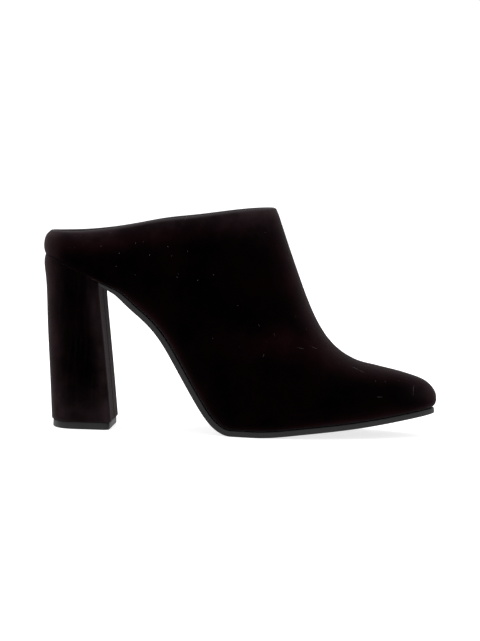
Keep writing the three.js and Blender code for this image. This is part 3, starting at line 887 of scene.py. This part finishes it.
class MULE_OT_upper(Operator):
    """The velvet upper: one lasted wall with a rolled collar edge and a margin turned in below"""
    bl_idname = "mule.velvet_upper"
    bl_label = "Velvet upper"

    ROLL_POWER = 1.5
    RIM_FADE, SOLE_FADE = (1, 8), (0.2, 3)  # the cloth is smooth beside the rim and beside the sole
    NAP = {"patch_scale": 38.0, "streaks": 0.0, "sheen_roughness": 0.34}

    def execute(self, context):
        sizes = context.scene.mule_sizes
        sheet = Sheet(WALL / 2, sizes.margin / MM, "round")
        hollow = Sheet(WALL / 2, sizes.margin / MM)
        rim = sheet.rim_distance()
        flat = 1 - smoothstep(rim, 0, sizes.rim_roll_length / MM)
        roll = sizes.rim_roll / MM * flat ** self.ROLL_POWER
        above_sole = sheet.points[:, 2] - feather_height(sheet.points[:, 0])
        uneven = smoothstep(rim, *self.RIM_FADE) * smoothstep(above_sole, *self.SOLE_FADE)
        sheet.push_in(roll + uneven * (waviness(sheet.points) + crease_depth(sheet.points)))
        hollow.push_in(roll)
        points, faces = shell(sheet, 0, WALL, RIM_STEPS, hollow)
        velvet = velvet_material("upper_velvet", **self.NAP)
        piece = add_piece("velvet_upper", points, faces, velvet, "velvet", "upper")
        self.brush(piece.data, sheet, rim)
        return {"FINISHED"}

    def brush(self, mesh, sheet, rim):
        """Painted sheen where the pile is brushed up and along edges, a painted wine glow, and a
        painted highlight along the collar's edge.
        """
        x, y, z = sheet.points.T
        # Painted sheen: a band along the collar, partly brushed-up pile, and lighter cloth on the
        # instep ridge, the back and the toe where the velvet turns from the view.
        band = 4.2 + 4.0 * smoothstep(x, -30, 10)
        near_rim = 0.8 * np.exp(-((rim / band) ** 1.3)) + 0.5 * np.exp(-rim / 0.9)
        ridge = 0.1 * hump(y, 3, 9) * smoothstep(x, 0, 30)
        back = 0.45 * (1 - smoothstep(x, -113, -98))
        toe = 0.5 * smoothstep(x, 88, 112) * smoothstep(z, 18, 26)
        # Painted wine glow: a band below the collar and a patch on the vamp where the cloth bends
        # towards the light.
        below_rim = 0.9 * hump(rim, 7, 5) * (1 - 0.5 * smoothstep(x, -70, -20))
        vamp = 0.8 * hump(x, 33, 22) * hump(z, 52, 9)
        # Painted highlight along the collar's edge, brightest over its rounded top.
        worn = 0.35 * hump(rim, 0, 0.5)
        arcs = np.sin(np.arange(1, RIM_STEPS) * math.pi / RIM_STEPS) ** 0.7
        arcs = np.repeat(arcs, len(sheet.rim))
        # Each is given outside, inside, and over the rounded edge between them.
        for name, values, edge in (
            ("sheen_and_brushed", near_rim + ridge + back + toe, np.ones_like(arcs)),
            ("painted_wine_glow", below_rim + vamp, np.ones_like(arcs)),
            ("rim", worn, arcs),
        ):
            values = np.clip(values, 0, 1)
            set_attribute(mesh, name, np.concatenate((values, values, edge)))


class MULE_OT_lining(Operator):
    """The collar lining: a thin skin inside the upper that stops below the turned-over velvet"""
    bl_idname = "mule.collar_lining"
    bl_label = "Collar lining"

    GLUE_LINE = 0.06  # between the velvet's backing and the lining
    EDGE_STEPS = 4
    GRAIN_SCALE = 1500.0

    def execute(self, context):
        sizes = context.scene.mule_sizes
        sheet = Sheet(sizes.lining_drop / MM, SHORT_MARGIN)
        thickness = sizes.lining_thickness / MM
        points, faces = shell(sheet, WALL + self.GLUE_LINE, WALL + thickness, self.EDGE_STEPS)
        material = lining_material(
            "lining_leather", context.scene.mule_colours.lining, self.GRAIN_SCALE)
        add_piece("collar_lining", points, faces, material, "sock")
        return {"FINISHED"}


def sock_edge(sheet, height, clearance):
    """Where the inside of the wall is at a height above the feather line, for each side and station."""
    inside = (sheet.points - sheet.normals * clearance)[sheet.ids]
    tilt_z = feather_tilt(inside[..., 0])[1]
    above = (inside[..., 2] - feather_height(inside[..., 0])) * tilt_z - height
    crossing = np.argmax(above[..., Sheet.MARGIN_ROWS:] > 0, axis=2) + Sheet.MARGIN_ROWS
    side, station = np.indices(crossing.shape)
    low, high = above[side, station, crossing - 1], above[side, station, crossing]
    share = (low / (low - high))[..., None]
    start, end = inside[side, station, crossing - 1], inside[side, station, crossing]
    return start + (end - start) * share


class MULE_OT_sock(Operator):
    """The sock lining on its insole board, dished under the heel"""
    bl_idname = "mule.sock_lining"
    bl_label = "Sock lining"

    GAP_TO_LINING = 0.12
    POINTS_ACROSS = 17
    DEPTHS = (0, 0.5, 2.7)  # of the top, the shoulder and the underside
    HEEL_DISH, HEEL_END = 1.1, (-95, -55)
    BALL_CROWN, BALL_START = 0.35, (-40, 10)
    SOFT_EDGE, SOFT_SHARE = 0.35, 0.1  # at most this width, or this share of the breadth
    GRAIN_SCALE = 1200.0

    def execute(self, context):
        sizes = context.scene.mule_sizes
        sheet = Sheet(WALL / 2, SHORT_MARGIN)
        clearance = WALL + (sizes.lining_thickness / MM) + self.GAP_TO_LINING
        across = np.linspace(0, 1, self.POINTS_ACROSS)[:, None, None]
        rows = []
        for depth in self.DEPTHS:
            inner, outer = sock_edge(sheet, sizes.sock_height / MM - depth, clearance)
            rows.append(outer + (inner - outer) * across)
        top, shoulder, low = rows
        bulge = 4 * across * (1 - across)
        dish = self.HEEL_DISH * (1 - smoothstep(top[..., 0], *self.HEEL_END))
        dish = dish - self.BALL_CROWN * smoothstep(top[..., 0], *self.BALL_START)
        top[..., 2] -= bulge[..., 0] * dish
        softened = np.minimum(self.SOFT_EDGE, self.SOFT_SHARE * (top[-1] - top[0])[:, 1])
        top[0, :, 1] += softened
        top[-1, :, 1] -= softened
        rings = np.concatenate((top[::-1], shoulder[:1], low, shoulder[-1:])).transpose(1, 0, 2)
        points, faces = stacked(rings, first_lid=False, last_lid=False)
        material = lining_material("sock_leather", context.scene.mule_colours.sock, self.GRAIN_SCALE)
        add_piece("sock_lining", points, faces, material, "sock", "insole", merge=True)
        return {"FINISHED"}


FIELD_BACK, FIELD_FRONT = (-26, -14), (96, 104)  # over which the tread field deepens and ends


def sole_depth(x):
    """Thickness of the sole, which thins to a tail under the waist."""
    share = smoothstep(x, BREAST_X, BREAST_X + SOLE_TAIL_LENGTH)
    return SOLE_TAIL_DEPTH + (SOLE_DEPTH - SOLE_TAIL_DEPTH) * share


def sole_point(s, side, inset, low, high, recess):
    """A point of the sole: inset from its edge, low below its top or high above its underside."""
    x, y = plan_point(s, side, last_at(s)["swell"] - SOLE_PROUD + inset)
    full = GAP + sole_depth(last_at(s)["foot"])
    forefoot = smoothstep(x, *FIELD_BACK) * (1 - smoothstep(x, *FIELD_FRONT))
    depth = np.where(low >= 0, GAP + low, full - high - recess * forefoot)
    return above_feather(x, y, -depth)


class MULE_OT_outsole(Operator):
    """The rubber outsole: soft edges, a border and a shallow tread field under the forefoot"""
    bl_idname = "mule.outsole"
    bl_label = "Outsole"

    COLUMNS = 190
    EDGE_RADIUS = 0.8
    SHOULDER_RADIUS = 0.3
    SIDE_BULGE = 0.06
    BORDER, BORDER_SLOPE = 4.5, 0.3
    STEPS_ACROSS = 9
    CUT_BETWEEN = (1.0, 5.0)  # stations either side of the heel's breast
    BAR_STATIONS = (7.5, 13.4, 700)  # first, last, and how many are tried
    BAR_INSET = 8.0  # where the spacing of the bars is measured
    BAR_GAP = 1.2  # from a bar's end to the border
    BAR_SHARE = 0.95  # of the recess

    def execute(self, context):
        sizes = context.scene.mule_sizes
        recess = sizes.tread_recess / MM
        inset, low, high, sunk = np.array([
            *((inset, low, 0, 0) for inset, low in quarter_round(self.SHOULDER_RADIUS, 4)),
            (-self.SIDE_BULGE, SOLE_TAIL_DEPTH / 2, 0, 0),
            *((inset, -1, high, 0) for high, inset in quarter_round(self.EDGE_RADIUS, 6)),
            (self.BORDER, -1, 0, 0),
            (self.BORDER + self.BORDER_SLOPE, -1, 0, 1),
        ]).T
        cut_x = BREAST_X + GAP
        strands = []
        for side in (OUTER, INNER):
            start, end = (np.full(len(inset), station) for station in self.CUT_BETWEEN)
            for _ in range(HALVINGS):
                middle = (start + end) / 2
                behind = sole_point(middle, side, inset, low, high, sunk * recess)[:, 0] < cut_x
                start, end = np.where(behind, middle, start), np.where(behind, end, middle)
            share = np.linspace(0, 1, self.COLUMNS + 1)[:, None]
            stations = start + (LAST_END - start) * share
            strands.append(sole_point(stations, side, inset, low, high, sunk * recess))
        outer, inner = strands
        across = np.linspace(0, 1, self.STEPS_ACROSS)[None, 1:-1, None]
        field = outer[:, -1:] + (inner[:, -1:] - outer[:, -1:]) * across
        lid = inner[:, :1] + (outer[:, :1] - inner[:, :1]) * across
        rings = np.concatenate((outer, field, inner[:, ::-1], lid), axis=1)
        points, faces = stacked(rings, last_lid=False)
        rubber = rubber_material()
        add_piece("outsole_unit", points, faces, rubber, "sole_rubber", "outsole", merge=True)
        self.tread(context, recess)
        return {"FINISHED"}

    def tread(self, context, recess):
        """Slim rounded bars across the tread field."""
        spacing = context.scene.mule_sizes.tread_spacing / MM
        places, headings, lengths = [], [], []
        for station in np.linspace(*self.BAR_STATIONS):
            x, _ = plan_point(station, OUTER, self.BAR_INSET)
            if places and x - places[-1][0] < spacing:
                continue
            start, end = (
                sole_point(station, side, self.BORDER + self.BAR_GAP, -1, 0, recess)
                for side in (OUTER, INNER)
            )
            reach = np.linalg.norm(end - start)
            places.append((start + end) / 2)
            headings.append((end - start) / reach)
            lengths.append(reach)
        mesh = bpy.data.meshes.new("tread_places")
        mesh.from_pydata(frame_points(places).tolist(), [], [])
        set_attribute(mesh, "heading", headings)
        set_attribute(mesh, "size", [(reach * MM, 1, 1) for reach in lengths])
        values = {"Length": 1.0, "Thickness": 2 * recess * MM * self.BAR_SHARE}
        tree = rod_tree("rods_at_points", False)
        grown_piece("tread_bars", mesh, tree, values, rubber_material())


def heel_spline(column):
    """A column of the heel's rows by height, running straight on at its ends."""
    rows = HEEL_ROWS[:, (0, column)]
    start = (rows[1, 1] - rows[0, 1]) / (rows[1, 0] - rows[0, 0])
    end = (rows[-1, 1] - rows[-2, 1]) / (rows[-1, 0] - rows[-2, 0])
    return clamped_spline(rows, start, end)


heel_back, heel_breast, heel_half, heel_arc, heel_corner = (heel_spline(k) for k in range(1, 6))

# One side of the block's outline, from the middle of the breast to the middle of the back.
BREAST_STEPS = np.concatenate(((0, 0.012, 0.024, 0.045, 0.08), np.linspace(0.14, 1, 11)[:-1]))
CORNER_STEPS = np.linspace(0, 1, 11)[:-1]
SIDE_STEPS = np.linspace(0, 1, 9)[:-1]
ARC_STEPS = np.linspace(0, 1, 41)
SIDE_COUNTS = [len(steps) for steps in (BREAST_STEPS, CORNER_STEPS, SIDE_STEPS, ARC_STEPS)]


def heel_outline(z, inset):
    """The block's outline, anticlockwise from above, at one height or one for each point of a side."""
    heights = np.broadcast_to(np.asarray(z, float), (sum(SIDE_COUNTS),))
    breast_z, corner_z, side_z, arc_z = np.split(heights, np.cumsum(SIDE_COUNTS)[:-1])

    def edges(at):
        back, breast, half = heel_back(at) + inset, heel_breast(at) - inset, heel_half(at) - inset
        return back, breast, half, heel_arc(at), heel_corner(at)

    _, breast, half, _, corner = edges(breast_z)
    breast_part = (breast, (half - corner) * BREAST_STEPS)
    _, breast, half, _, corner = edges(corner_z)
    turn = CORNER_STEPS * QUARTER_TURN
    corner_part = (breast - corner + corner * np.cos(turn), half - corner + corner * np.sin(turn))
    back, breast, half, arc, corner = edges(side_z)
    side_part = (breast - corner + (back + arc - breast + corner) * SIDE_STEPS, half)
    back, _, half, arc, _ = edges(arc_z)
    turn = ARC_STEPS * QUARTER_TURN
    arc_part = (
        back + arc - arc * np.sin(turn) ** HEEL_BACK_POWER,
        half * np.maximum(np.cos(turn), 0) ** HEEL_BACK_POWER,
    )
    x, y = (np.concatenate(parts) for parts in zip(breast_part, corner_part, side_part, arc_part))
    one = np.stack((x, y, heights), -1)
    other = one[-2:0:-1] * (1, -1, 1)
    return np.concatenate((one, other))


SEAT_SEAM = 0.12
SEAT_X = -100.0  # where the seat's tilt is taken
LIP = 0.5  # how far the cover's rim stands up round the upper's lower edge
LIP_CLEARANCE = 0.5  # how far outside that edge it starts to rise


def seat_height(x):
    """Height of the block's top, a seam's width under the upper."""
    return feather_height(x) - SEAT_SEAM / feather_tilt(SEAT_X)[1]


def seat_heights():
    """Heights of the seat and of the rim round it, at each point of one side of the block."""
    seat = np.full(sum(SIDE_COUNTS), 90.0)  # a first guess
    for _ in range(12):
        outline = heel_outline(seat, 0)[:len(seat)]
        seat = seat_height(outline[:, 0])
    stations = np.linspace(0, 4, 200)  # from the back to past the breast
    feather_x, feather_y = plan_point(stations, INNER, undercut(last_at(stations), "round"))
    beyond = np.maximum(np.interp(outline[:, 0], feather_x, -feather_y) + outline[:, 1], 0)
    return seat, seat + np.clip(beyond - LIP_CLEARANCE, 0, LIP)


class MULE_OT_heel(Operator):
    """The covered block heel, with rounded edges and the cover's butt seam down the breast"""
    bl_idname = "mule.heel_cover"
    bl_label = "Heel cover"

    EDGE = 0.9
    TOP_EDGE = 0.2
    LIP_WIDTH = 1.0
    ROWS = 64
    EDGE_STEPS = 6
    SEAM_WIDTH = 0.5
    BREAST_DEPTH = 2  # how far behind the breast's middle its face reaches
    WAVE, WAVE_FADE = 0.07, (2, 12)  # the cloth's unevenness, which fades out towards the middle
    NAP = {"patch_scale": 62.0, "streaks": 0.06, "sheen_roughness": 0.36}

    def execute(self, context):
        seam = context.scene.mule_sizes.breast_seam / MM
        seat, top = seat_heights()
        rings = []
        low = HEEL_BOTTOM_Z
        for inset, raised in quarter_round(self.EDGE, self.EDGE_STEPS)[:-1]:
            rings.append(heel_outline(low + raised, inset))
        for share in np.linspace(0, 1, self.ROWS):
            height = (top - self.TOP_EDGE - self.EDGE - low) * share
            rings.append(heel_outline(low + self.EDGE + height, 0))
        for lowered, inset in quarter_round(self.TOP_EDGE, self.EDGE_STEPS)[1:]:
            rings.append(heel_outline(top - lowered, inset))
        inner = heel_outline(seat, self.TOP_EDGE + self.LIP_WIDTH)
        inner[:, 2] = seat_height(inner[:, 0])
        rings = np.array(rings + [inner])
        x, y, z = rings[..., 0], rings[..., 1], rings[..., 2]
        on_breast = x > heel_breast(z) - self.BREAST_DEPTH
        rings[..., 0] = x - np.where(on_breast, seam * hump(y, 0, self.SEAM_WIDTH), 0)
        wave = self.WAVE * np.sin(z / 7.3 + y / 5.1) * np.sin(x / 6.7 + z / 17.0)
        rings[..., 1] += wave * np.sign(y) * smoothstep(np.abs(y), *self.WAVE_FADE)
        points, faces = stacked(rings)
        velvet = velvet_material("heel_velvet", **self.NAP)
        piece = add_piece("heel_cover", points, faces, velvet, "velvet", "heel_block", merge=True)
        place = np.array([vertex.co for vertex in piece.data.vertices]) / MM - LAST_SHIFT
        x, y, z = place.T
        # Painted sheen on the breast's corners and round the back, and painted light low on the block.
        front = heel_breast(z) - x
        corner = 0.4 * hump(front, 1.5, 4) * smoothstep(np.abs(y), 8, 20)
        foot = 0.35 * (1 - smoothstep(z, HEEL_BOTTOM_Z, 34))
        back = 0.3 * (1 - smoothstep(x - heel_back(z), 2, 16))
        set_attribute(piece.data, "sheen_and_brushed", np.clip(corner + foot + back, 0, 1))
        return {"FINISHED"}


class MULE_OT_lift(Operator):
    """The rubber top lift under the heel, with a worn edge and a shallow field underneath"""
    bl_idname = "mule.top_lift"
    bl_label = "Top lift"

    EDGE, EDGE_STEPS = 0.75, 5
    FIELD = ((6, 0.25), (3.2, 0.25), (2.9, 0))  # the shallow field: inset from the side, and height
    SIDE = ((0, 2.0), (0.04, LIFT_HEIGHT - 0.2), (0.25, LIFT_HEIGHT))

    def execute(self, context):
        rings = []
        for inset, z in (*self.FIELD, *quarter_round(self.EDGE, self.EDGE_STEPS), *self.SIDE):
            ring = heel_outline(HEEL_BOTTOM_Z, LIFT_INSET + inset)
            ring[:, 2] = z
            rings.append(ring)
        points, faces = stacked(rings)
        rubber = rubber_material()
        add_piece("top_lift_rubber", points, faces, rubber, "sole_rubber", "top_lift", merge=True)
        return {"FINISHED"}


class MULE_OT_stitches(Operator):
    """The row of stitches that holds the lining to the turned-over velvet inside the collar"""
    bl_idname = "mule.collar_stitches"
    bl_label = "Collar stitches"

    BELOW_EDGE = 1.6  # from the lining's edge
    RAISED_SHARE = 0.3  # of a thread's thickness, from the lining to its middle

    def execute(self, context):
        sizes = context.scene.mule_sizes
        sheet = Sheet(sizes.lining_drop / MM + self.BELOW_EDGE, SHORT_MARGIN)
        depth = WALL + sizes.lining_thickness / MM + self.RAISED_SHARE * sizes.thread_thickness / MM
        ring = sheet.points[sheet.rim] - sheet.normals[sheet.rim] * depth
        count = len(ring)
        mesh = bpy.data.meshes.new("stitch_path")
        steps = [(k, (k + 1) % count) for k in range(count)]
        mesh.from_pydata(frame_points(ring).tolist(), steps, [])
        values = {"Spacing": sizes.stitch_spacing, "Length": sizes.stitch_length,
                  "Thickness": sizes.thread_thickness}
        material = thread_material("sewing_thread", context.scene.mule_colours.thread, roughness=0.55)
        tree = rod_tree("rods_along_path", True)
        grown_piece("collar_stitches", mesh, tree, values, material)
        return {"FINISHED"}


# Specks and fibres that caught on the outer side, with their headings in degrees on the side view.
LINT_COLUMNS = ("x", "z", "length", "width", "heading")
OUTER_LINT = (
    (-77.5, 104.5, 0.7, 0.16, 70), (-68, 100.8, 0.8, 0.16, 20), (-59, 107, 0.8, 0.16, 100),
    (-54, 107.5, 0.6, 0.14, 0), (-50, 100.5, 0.9, 0.16, 60), (-40.8, 105.3, 0.8, 0.16, 120),
    (-38.5, 100.5, 0.6, 0.14, 40), (-28.6, 103, 0.7, 0.15, 80), (-14.6, 90.5, 0.8, 0.15, 90),
    (-35.6, 88, 0.9, 0.12, 130), (-23.3, 87.1, 0.6, 0.14, 0), (84, 32.5, 0.7, 0.14, 20),
    (67.5, 38.6, 8.5, 0.1, -48), (99.9, 27.6, 7, 0.07, 70), (81, 24, 4, 0.07, 3),
    (13, 62.9, 2, 0.07, -50), (20, 57.9, 2.5, 0.07, -75), (15.6, 47.4, 2, 0.07, 60),
    (35.2, 50.3, 4.5, 0.06, 0), (43, 50.6, 5, 0.06, 3),
)


class MULE_OT_lint(Operator):
    """Specks of lint and stray fibres caught in the pile"""
    bl_idname = "mule.lint"
    bl_label = "Lint"

    SEED = 11
    LEAST_HEIGHT = 0.02  # metres above the floor
    SIDEWAYS = 0.3  # how far the cloth has to face to the side
    HOVER = 0.00008  # metres from the cloth to a fibre's middle
    LENGTHS, WIDTHS = (0.25, 1.0), (0.06, 0.12)

    def execute(self, context):
        random = np.random.default_rng(self.SEED)
        upper = bpy.data.objects["velvet_upper"].data
        spots = np.array([vertex.co for vertex in upper.vertices])[: len(upper.vertices) // 2]
        facing = np.array([vertex.normal for vertex in upper.vertices])[: len(spots)]
        high, sideways = spots[:, 2] > self.LEAST_HEIGHT, np.abs(facing[:, 1]) > self.SIDEWAYS
        seen = np.flatnonzero(high & sideways)
        places, headings, sizes = [], [], []

        def settle(index, direction, reach, thickness):
            normal = facing[index]
            along = direction - normal * np.dot(normal, direction)
            places.append(spots[index] + normal * self.HOVER)
            headings.append(along / np.linalg.norm(along))
            sizes.append((reach * MM, thickness * MM, thickness * MM))

        side = seen[facing[seen, 1] < -self.SIDEWAYS]
        for row in OUTER_LINT:
            speck = dict(zip(LINT_COLUMNS, row))
            target = frame_points([(speck["x"], 0, speck["z"])])[0]
            off = spots[side] - target
            nearest = side[np.argmin(np.hypot(off[:, 0], off[:, 2]))]
            heading = math.radians(speck["heading"])
            direction = math.cos(heading), 0, math.sin(heading)
            settle(nearest, direction, speck["length"], speck["width"])
        for index in random.choice(seen, context.scene.mule_sizes.lint_count, replace=False):
            direction = random.normal(size=3)
            settle(index, direction, random.uniform(*self.LENGTHS), random.uniform(*self.WIDTHS))
        mesh = bpy.data.meshes.new("lint_places")
        mesh.from_pydata(np.array(places).tolist(), [], [])
        set_attribute(mesh, "heading", headings)
        set_attribute(mesh, "size", sizes)
        material = thread_material("lint_fibre", context.scene.mule_colours.lint, roughness=0.9)
        tree = rod_tree("fibres_at_points", False)
        grown_piece("lint", mesh, tree, {"Length": 1.0, "Thickness": 1.0}, material)
        return {"FINISHED"}


WHITE = (1, 1, 1, 1)


class MULE_OT_stage(Operator):
    """A white floor, a white room, soft overhead lights and the camera"""
    bl_idname = "mule.stage"
    bl_label = "Stage"

    FLOOR_REACH = 6.0
    OVERHEAD = {"place": (0.1, 0.2, 1.6), "target": (0, 0, 0), "size": 1.6}
    BACK = {"place": (-1.0, 0.9, 0.9), "target": (0, 0, 0.05), "size": 0.9}
    BACK_SHARE = 0.35  # of the overhead light's power

    def execute(self, context):
        stage = context.scene.mule_stage
        self.floor()
        world = bpy.data.worlds.new("white_room")
        world.use_nodes = True
        room = world.node_tree
        set_inputs(room, room.nodes["Background"], {"Color": WHITE, "Strength": stage.room_light})
        context.scene.world = world
        self.light("overhead", power=stage.key_power, **self.OVERHEAD)
        self.light("back", power=stage.key_power * self.BACK_SHARE, **self.BACK)
        self.camera(context, stage)
        context.scene.view_settings.view_transform = "Standard"
        return {"FINISHED"}

    def floor(self):
        mesh = bpy.data.meshes.new("floor")
        reach = self.FLOOR_REACH
        corners = [(-reach, -reach, 0), (reach, -reach, 0), (reach, reach, 0), (-reach, reach, 0)]
        mesh.from_pydata(corners, [], [(0, 1, 2, 3)])
        material = bpy.data.materials.new("white_floor")
        material.use_nodes = True
        tree = material.node_tree
        set_inputs(tree, tree.nodes["Principled BSDF"], {
            "Base Color": (0.5, 0.5, 0.5, 1), "Emission Color": WHITE, "Emission Strength": 0.75,
            "Roughness": 0.9, "Specular IOR Level": 0.1,
        })
        mesh.materials.append(material)
        floor = new_object("floor", mesh)

    def light(self, name, place, target, size, power):
        data = bpy.data.lights.new(name, "AREA")
        data.shape = "DISK"
        data.size = size
        data.energy = power
        lamp = new_object(name, data)
        lamp.location = place
        lamp.rotation_euler = (Vector(target) - Vector(place)).to_track_quat("-Z", "Y").to_euler()

    def camera(self, context, stage):
        data = bpy.data.cameras.new("camera")
        data.sensor_width = 36
        data.lens = stage.lens
        data.clip_end = 50
        turn = stage.camera_turn
        away = stage.camera_distance
        place = Vector((math.sin(turn) * away, -math.cos(turn) * away, stage.camera_height))
        ahead = (Vector((0, 0, stage.aim_height)) - place).normalized()
        right = ahead.cross(Vector((0, 0, 1))).normalized()
        upwards = right.cross(ahead)
        facing = Matrix((right, upwards, -ahead)).transposed()
        facing = facing @ Matrix.Rotation(stage.camera_roll, 3, "Z")
        camera = new_object("camera", data)
        camera.matrix_world = Matrix.Translation(place) @ facing.to_4x4()
        context.scene.camera = camera


OPERATORS = (
    MULE_OT_upper, MULE_OT_lining, MULE_OT_sock, MULE_OT_outsole, MULE_OT_heel, MULE_OT_lift,
    MULE_OT_stitches, MULE_OT_lint, MULE_OT_stage,
)
GROUPS = (("mule_sizes", MuleSizes), ("mule_colours", MuleColours), ("mule_stage", MuleStage))


class MULE_PT_panel(Panel):
    """Lists the pieces of the mule"""
    bl_label = "Velvet mule"
    bl_space_type = "VIEW_3D"
    bl_region_type = "UI"
    bl_category = "Mule"

    def draw(self, context):
        for name, group in GROUPS:
            box = self.layout.box()
            for field in group.__annotations__:
                box.prop(getattr(context.scene, name), field)
        for operator in OPERATORS:
            self.layout.operator(operator.bl_idname)


def register():
    for name, group in GROUPS:
        bpy.utils.register_class(group)
        setattr(bpy.types.Scene, name, PointerProperty(type=group))
    for cls in (*OPERATORS, MULE_PT_panel):
        bpy.utils.register_class(cls)


def unregister():
    for cls in (MULE_PT_panel, *reversed(OPERATORS)):
        bpy.utils.unregister_class(cls)
    for name, group in reversed(GROUPS):
        delattr(bpy.types.Scene, name)
        bpy.utils.unregister_class(group)


def main():
    """Builds every piece in order."""
    register()
    for operator in OPERATORS:
        family, name = operator.bl_idname.split(".")
        getattr(getattr(bpy.ops, family), name)()


if __name__ == "__main__":
    main()
